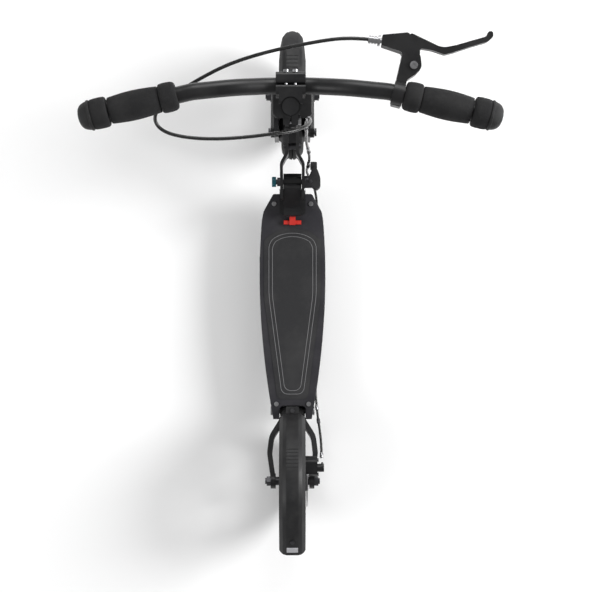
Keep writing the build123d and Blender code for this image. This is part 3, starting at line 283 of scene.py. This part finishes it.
# Slanted grooves run round the wheel, with a plain rib along the middle of the tread
def tyreFinish(name, centre):
    look = {"dark": (0.006, 0.006, 0.006), "light": (0.013, 0.013, 0.013), "rough": (0.6, 0.78),
            "coarse": 28.0, "fine": 1300.0, "bump": 0.35, "depth": 0.0003, "dust": 0.22, "dustScale": 30.0,
            "specular": 0.35}
    finish, tree, shader, _ = grainyFinish(name, look)
    place = objectPlace(tree)
    shift = tree.nodes.new("ShaderNodeMapping")
    shift.inputs["Location"].default_value = (0.0, -centre[1], -centre[2])
    tree.links.new(place, shift.inputs["Vector"])
    axes = tree.nodes.new("ShaderNodeSeparateXYZ")
    tree.links.new(shift.outputs["Vector"], axes.inputs[0])
    angle = mathNode(tree, "ARCTAN2", axes.outputs["Z"], axes.outputs["Y"])
    side = mathNode(tree, "ABSOLUTE", axes.outputs["X"])
    turns = mathNode(tree, "MULTIPLY", angle, tread["count"])
    slant = mathNode(tree, "MULTIPLY_ADD", side, tread["slant"], turns)
    cuts = remap(tree, mathNode(tree, "SINE", slant), 0.55, 0.85, 1.0, 0.0)
    onTread = remap(tree, side, *tread["rib"])
    groove = mathNode(tree, "MULTIPLY", mathNode(tree, "SUBTRACT", 1.0, cuts), onTread)
    sunk = mathNode(tree, "SUBTRACT", 1.0, groove)
    grainNormal = shader.inputs["Normal"].links[0].from_socket
    tree.links.new(bumpFrom(tree, sunk, 0.9, tread["depth"], grainNormal), shader.inputs["Normal"])
    return finish


def knurlFinish():
    look = {"dark": (0.006, 0.006, 0.0065), "light": (0.012, 0.012, 0.0125), "rough": (0.5, 0.66),
            "coarse": 45.0, "fine": 900.0, "bump": 0.4, "depth": 0.0003, "dust": 0.08}
    finish, tree, shader, _ = grainyFinish("capRubber", look)
    place = objectPlace(tree)
    lines = []
    for turn in (math.radians(45), math.radians(-45)):
        spin = tree.nodes.new("ShaderNodeMapping")
        spin.inputs["Rotation"].default_value = (0.4, 0.3, turn)
        tree.links.new(place, spin.inputs["Vector"])
        wave = tree.nodes.new("ShaderNodeTexWave")
        wave.inputs["Scale"].default_value = 260.0
        tree.links.new(spin.outputs["Vector"], wave.inputs["Vector"])
        lines.append(wave.outputs["Fac"])
    height = mathNode(tree, "MULTIPLY", lines[0], lines[1])
    grainNormal = shader.inputs["Normal"].links[0].from_socket
    tree.links.new(bumpFrom(tree, height, 0.6, 0.0006, grainNormal), shader.inputs["Normal"])
    return finish


def reflectorFinish():
    look = {"dark": (0.34, 0.34, 0.36), "light": (0.48, 0.48, 0.50), "rough": (0.12, 0.22), "coarse": 80.0,
            "fine": 900.0, "bump": 0.1, "depth": 0.0001, "dust": 0.05, "coat": 0.6}
    finish, tree, shader, _ = grainyFinish("reflectorLens", look)
    cells = cellNode(tree, 480.0)
    cells.inputs["Randomness"].default_value = 0.0
    tree.links.new(bumpFrom(tree, cells.outputs["Distance"], 0.8, 0.001), shader.inputs["Normal"])
    return finish


made["gritTape"] = tapeFinish()
made["gripFoam"] = foamFinish()
made["capRubber"] = knurlFinish()
made["reflectorLens"] = reflectorFinish()
wheelCentres = {"front_tyre": (0.0, 0.3865, 0.127), "rear_tyre": (0.0, -0.3835, 0.127)}
for node, centre in wheelCentres.items():
    made[node] = tyreFinish(node.replace("_", "") + "Rubber", centre)

nodeFinish = {
    "grip_tape": "gritTape", "deck_plate": "anthracite", "deck_tray": "anthracite", "grips": "gripFoam",
    "grip_caps": "capRubber", "end_discs": "teal", "fold_knob": "teal", "red_latch": "red",
    "front_tyre": "front_tyre", "rear_tyre": "rear_tyre", "reflector": "reflectorLens",
    "front_fender": "moulded", "rear_fender": "moulded", "fold_lever": "moulded", "charge_socket": "moulded",
    "power_button": "moulded", "motor_controller": "moulded", "battery_pack": "shrinkWrap",
    "link_cartridges": "softRubber", "rear_bushes": "softRubber", "bar_hardware": "steelPart",
    "deck_bolts": "steelPart", "steering_bolts": "darkSteel", "brake_rotor": "steelPart",
    "front_bearings": "steelPart", "rear_bearings": "steelPart", "head_bearings": "steelPart",
    "fold_axle": "darkSteel", "frame_spacers": "darkSteel", "front_axle": "darkSteel",
    "rear_hardware": "darkSteel", "motor_stator": "darkSteel",
}


def wear(piece, finish):
    piece.data.materials.clear()
    piece.data.materials.append(made[finish])


for nodeName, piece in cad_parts.items():
    wear(piece, nodeFinish.get(nodeName, "satinBlack"))
print("finishes on the frame")

# White paper, three soft lights and a camera high above the deck
studio = {
    "camera": (0.007, -0.0135, 2.610), "lens": 75.5, "sensor": 36.0, "floorSize": 12.0, "floorDrop": 0.0005,
    "paper": (0.93, 0.93, 0.93), "skyStrength": 0.34,
    "lights": {
        "keyLight": {"place": (3.2, 0.6, 2.3), "aim": (0.0, 0.0, 0.3), "size": 1.8, "power": 150.0},
        "fillLight": {"place": (-3.0, -1.0, 2.6), "aim": (0.0, 0.0, 0.3), "size": 2.6, "power": 62.0},
        "frontLight": {"place": (0.4, 3.2, 2.6), "aim": (0.0, 0.0, 0.2), "size": 2.4, "power": 60.0},
    },
}


def areaLight(name, place, aim, size, power):
    lamp = bpy.data.lights.new(name, "AREA")
    lamp.shape = "DISK"
    lamp.size = size
    lamp.energy = power
    holder = bpy.data.objects.new(name, lamp)
    bpy.context.scene.collection.objects.link(holder)
    holder.location = place
    holder.rotation_euler = (Vector(aim) - Vector(place)).to_track_quat("-Z", "Y").to_euler()


def makeFloor():
    height = cadBox[0].z - studio["floorDrop"]
    bpy.ops.mesh.primitive_plane_add(size=studio["floorSize"], location=(0, 0, height))
    floor = bpy.context.active_object
    floor.name = "studioFloor"
    paper = bpy.data.materials.new("paper")
    paper.use_nodes = True
    shader = paper.node_tree.nodes["Principled BSDF"]
    shader.inputs["Base Color"].default_value = studio["paper"] + (1.0,)
    shader.inputs["Roughness"].default_value = 0.9
    shader.inputs["Specular IOR Level"].default_value = 0.1
    floor.data.materials.append(paper)
    tidySelection()


def makeSky():
    sky = bpy.data.worlds.new("studioSky")
    sky.use_nodes = True
    background = sky.node_tree.nodes["Background"]
    background.inputs["Color"].default_value = (1.0, 1.0, 1.0, 1.0)
    background.inputs["Strength"].default_value = studio["skyStrength"]
    bpy.context.scene.world = sky


def makeCamera():
    eye = bpy.data.cameras.new("studioCamera")
    eye.lens = studio["lens"]
    eye.sensor_width = studio["sensor"]
    holder = bpy.data.objects.new("studioCamera", eye)
    bpy.context.scene.collection.objects.link(holder)
    holder.location = studio["camera"]
    bpy.context.scene.camera = holder
    bpy.context.scene.view_settings.view_transform = "Standard"


makeFloor()
for name, light in studio["lights"].items():
    areaLight(name, **light)
makeSky()
makeCamera()
print("stage, lights and camera ready")

# One brake cable in five stretches, cut where a joint crosses it and bridged there
cable = {
    "radius": 0.0025, "bridgeLead": 0.35, "bridgeOverlap": 0.02,
    "routes": {
        "cable_bar": ("upper_stem", [
            (0.1016, 0.3225, 0.985), (0.080, 0.3245, 0.984), (0.052, 0.323, 0.982), (0.012, 0.317, 0.976),
            (-0.032, 0.309, 0.970), (-0.082, 0.295, 0.962), (-0.126, 0.274, 0.954), (-0.164, 0.251, 0.946),
            (-0.186, 0.230, 0.938), (-0.178, 0.211, 0.930), (-0.148, 0.202, 0.924), (-0.104, 0.200, 0.918),
            (-0.060, 0.204, 0.910), (-0.024, 0.210, 0.900), (0.006, 0.216, 0.884), (0.026, 0.228, 0.862),
            (0.028, 0.240, 0.836), (0.025, 0.243, 0.808)]),
        "cable_column": ("steering", [
            (0.022, 0.240, 0.742), (0.023, 0.243, 0.690), (0.024, 0.248, 0.630), (0.024, 0.252, 0.560),
            (0.024, 0.254, 0.490), (0.026, 0.254, 0.420), (0.029, 0.251, 0.372)]),
        "cable_frame": ("front_frame", [
            (0.030, 0.249, 0.352), (0.032, 0.246, 0.310), (0.032, 0.242, 0.262), (0.031, 0.238, 0.240)]),
        "cable_deck": ("deck", [
            (0.0305, 0.236, 0.222), (0.028, 0.2355, 0.190), (0.028, 0.231, 0.158), (0.034, 0.223, 0.124),
            (0.044, 0.209, 0.090), (0.050, 0.182, 0.062), (0.050, 0.132, 0.059), (0.051, 0.072, 0.060),
            (0.051, 0.008, 0.059), (0.050, -0.056, 0.060), (0.048, -0.120, 0.059), (0.046, -0.176, 0.060),
            (0.047, -0.214, 0.0595), (0.050, -0.246, 0.070)]),
        "cable_arm": ("rear_arm", [
            (0.052, -0.264, 0.085), (0.055, -0.285, 0.104), (0.058, -0.312, 0.121), (0.058, -0.336, 0.131)]),
    },
}


def splineTube(name, points, radius, finish):
    curve = bpy.data.curves.new(name, "CURVE")
    curve.dimensions = "3D"
    curve.bevel_depth = radius
    curve.bevel_resolution = 5
    curve.resolution_u = 12
    curve.use_fill_caps = True
    spline = curve.splines.new("NURBS")
    spline.points.add(len(points) - 1)
    for point, place in zip(spline.points, points):
        point.co = (*place, 1.0)
    spline.order_u = 3
    spline.use_endpoint_u = True
    piece = bpy.data.objects.new(name, curve)
    bpy.context.scene.collection.objects.link(piece)
    tidySelection()
    piece.select_set(True)
    bpy.context.view_layer.objects.active = piece
    bpy.ops.object.convert(target="MESH")
    piece = bpy.context.active_object
    wear(piece, finish)
    bpy.ops.object.shade_smooth_by_angle(angle=math.radians(40))
    tidySelection()
    return piece


def makeCable():
    routes = cable["routes"]
    for name, (body, points) in routes.items():
        tube = splineTube(name.replace("_", "") + "Sheath", points, cable["radius"], "cableSheath")
        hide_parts(name)
        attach(tube, body)
    names = list(routes)
    for first, second in zip(names, names[1:]):
        firstBody, before = routes[first]
        secondBody, after = routes[second]
        start, end = Vector(before[-1]), Vector(after[0])
        reach = (end - start).length * cable["bridgeLead"]
        lead = (start - Vector(before[-2])).normalized() * reach
        tail = (Vector(after[1]) - end).normalized() * reach
        overlap = cable["bridgeOverlap"]
        points = [start - lead * overlap, start + lead, end - tail, end + tail * overlap]
        bridge = splineTube(first.replace("_", "") + "Bridge", points, cable["radius"], "cableSheath")
        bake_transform(bridge)


# The bar's straight ends lean back, and the grips lie along them
bar = {"sweep": 13.1, "y": 0.264, "z": 0.992, "from": 0.080}


def barPoint(x):
    return Vector((x, bar["y"] - (x - bar["from"]) * math.tan(math.radians(bar["sweep"])), bar["z"]))


# A profile of steps along an axis and radii about it, turned into a closed piece
def turnedPiece(name, start, direction, profile, finish, sides=64, smooth=35):
    turn = direction.to_track_quat("Z", "Y").to_euler()
    place = start + direction * profile[0][0]
    tidySelection()
    bpy.ops.mesh.primitive_circle_add(vertices=sides, radius=profile[0][1], fill_type="NGON", location=place,
                                      rotation=turn)
    piece = bpy.context.active_object
    piece.name = name
    bpy.ops.object.mode_set(mode="EDIT")
    bpy.ops.mesh.select_all(action="SELECT")
    for (oldStep, oldRadius), (step, radius) in zip(profile, profile[1:]):
        move = direction * (step - oldStep)
        bpy.ops.mesh.extrude_region_move(TRANSFORM_OT_translate={"value": move})
        share = radius / oldRadius
        bpy.ops.transform.resize(value=(share, share, share), center_override=start + direction * step)
    bpy.ops.mesh.select_all(action="SELECT")
    bpy.ops.mesh.normals_make_consistent(inside=False)
    bpy.ops.object.mode_set(mode="OBJECT")
    bpy.ops.object.transform_apply(location=True, rotation=True, scale=True)
    bpy.ops.object.shade_smooth_by_angle(angle=math.radians(smooth))
    piece.data.materials.append(made[finish])
    tidySelection()
    return piece


def mirrored(piece, name):
    piece.select_set(True)
    bpy.context.view_layer.objects.active = piece
    bpy.ops.object.duplicate()
    twin = bpy.context.active_object
    twin.name = name
    bpy.ops.transform.resize(value=(-1, 1, 1), center_override=(0, 0, 0))
    bpy.ops.object.transform_apply(location=True, rotation=True, scale=True)
    bpy.ops.object.mode_set(mode="EDIT")
    bpy.ops.mesh.select_all(action="SELECT")
    bpy.ops.mesh.normals_make_consistent(inside=False)
    tidySelection()
    return twin


grip = {
    "innerBand": [(0.0, 0.0135), (0.0006, 0.0160), (0.0020, 0.0178), (0.0050, 0.0190), (0.0110, 0.0196),
                  (0.0170, 0.0196), (0.0205, 0.0190), (0.0222, 0.0178), (0.0228, 0.0165), (0.0228, 0.0120)],
    "foam": [(0.0, 0.0120), (0.0, 0.0165), (0.0010, 0.0172), (0.0100, 0.0182), (0.0230, 0.0192),
             (0.0340, 0.0195), (0.0450, 0.0192), (0.0570, 0.0182), (0.0655, 0.0173), (0.0665, 0.0165),
             (0.0665, 0.0120)],
    "outerBand": [(0.0, 0.0120), (0.0, 0.0172), (0.0006, 0.0186), (0.0022, 0.0198), (0.0070, 0.0203),
                  (0.0150, 0.0202), (0.0200, 0.0197), (0.0214, 0.0190), (0.0218, 0.0180), (0.0218, 0.0120)],
    "cap": [(0.0, 0.0120), (0.0, 0.0190), (0.0006, 0.0199), (0.0020, 0.0203), (0.0034, 0.0199),
            (0.0040, 0.0188), (0.0070, 0.0182), (0.0100, 0.0171), (0.0130, 0.0153), (0.0152, 0.0128),
            (0.0166, 0.0100), (0.0170, 0.0075), (0.0170, 0.0064), (0.0158, 0.0064)],
    "starts": {"innerBand": 0.148, "foam": 0.1710, "outerBand": 0.2378, "cap": 0.2590},
    "finishes": {"innerBand": "gripFoam", "foam": "gripFoam", "outerBand": "gripFoam", "cap": "capRubber"},
}


def makeGrips():
    lean = math.radians(bar["sweep"])
    along = Vector((math.cos(lean), -math.sin(lean), 0.0))
    for part, begin in grip["starts"].items():
        piece = turnedPiece("right" + part[0].upper() + part[1:], barPoint(begin), along, grip[part],
                            grip["finishes"][part])
        twin = mirrored(piece, "left" + part[0].upper() + part[1:])
        for one in (piece, twin):
            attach(one, "upper_stem")
        if part == "foam":
            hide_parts("grips")
        if part == "cap":
            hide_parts("grip_caps")


# Two light lines lie inside the edge of the grip tape
tape = {"outline": [(0.0, 0.1246), (0.034, 0.118), (0.0576, 0.0995), (0.0576, -0.014), (0.0305, -0.221)],
        "top": 0.1112, "insets": (0.0100, 0.0170), "radius": 0.0006, "corner": 0.012}


def insetRing(distance):
    half = [Vector(p) for p in tape["outline"]]
    ring = half + [Vector((-p.x, p.y)) for p in reversed(half) if p.x > 0]
    moved = []
    for i, point in enumerate(ring):
        before = (point - ring[i - 1]).normalized()
        after = (ring[(i + 1) % len(ring)] - point).normalized()
        inward = Vector((before.y, -before.x)) + Vector((after.y, -after.x))
        moved.append(point + inward * distance / (1 + before.dot(after)))
    return moved


def makeTapeLines():
    for count, inset in enumerate(tape["insets"]):
        ring = insetRing(inset)
        mesh = bpy.data.meshes.new("tapeLine")
        corners = [(p.x, p.y, tape["top"]) for p in ring]
        mesh.from_pydata(corners, [(i, (i + 1) % len(ring)) for i in range(len(ring))], [])
        line = bpy.data.objects.new("tapeLine" + "AB"[count], mesh)
        bpy.context.scene.collection.objects.link(line)
        tidySelection()
        line.select_set(True)
        bpy.context.view_layer.objects.active = line
        bpy.ops.object.mode_set(mode="EDIT")
        bpy.ops.mesh.select_all(action="SELECT")
        bpy.ops.mesh.bevel(affect="VERTICES", offset=tape["corner"], segments=10)
        bpy.ops.object.mode_set(mode="OBJECT")
        bpy.ops.object.convert(target="CURVE")
        line.data.bevel_depth = tape["radius"]
        line.data.bevel_resolution = 1
        bpy.ops.object.convert(target="MESH")
        line = bpy.context.active_object
        bpy.ops.object.shade_smooth()
        wear(line, "tapeLine")
        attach(line, "deck")
        tidySelection()


# A metal sleeve on each end of each stretch, but not where the lever's adjuster takes the cable
ferrule = {
    "profile": [(-0.0010, 0.0027), (-0.0004, 0.0034), (0.0004, 0.0036), (0.0090, 0.0036), (0.0098, 0.0032),
                (0.0102, 0.0026)],
    "sides": 24, "smooth": 50,
}


def makeFerrules():
    routes = cable["routes"]
    for name, (body, points) in routes.items():
        for end, step in ((0, 1), (-1, -2)):
            if end == 0 and name == "cable_bar":
                continue
            place = Vector(points[end])
            direction = (Vector(points[step]) - place).normalized()
            label = name.replace("_", "") + ("StartFerrule" if end == 0 else "EndFerrule")
            finish = "steelPart" if end else "darkSteel"
            sleeve = turnedPiece(label, place, direction, ferrule["profile"], finish, ferrule["sides"],
                                 ferrule["smooth"])
            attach(sleeve, body)


makeCable()
makeGrips()
makeTapeLines()
makeFerrules()
print("cable, grips and tape lines made")
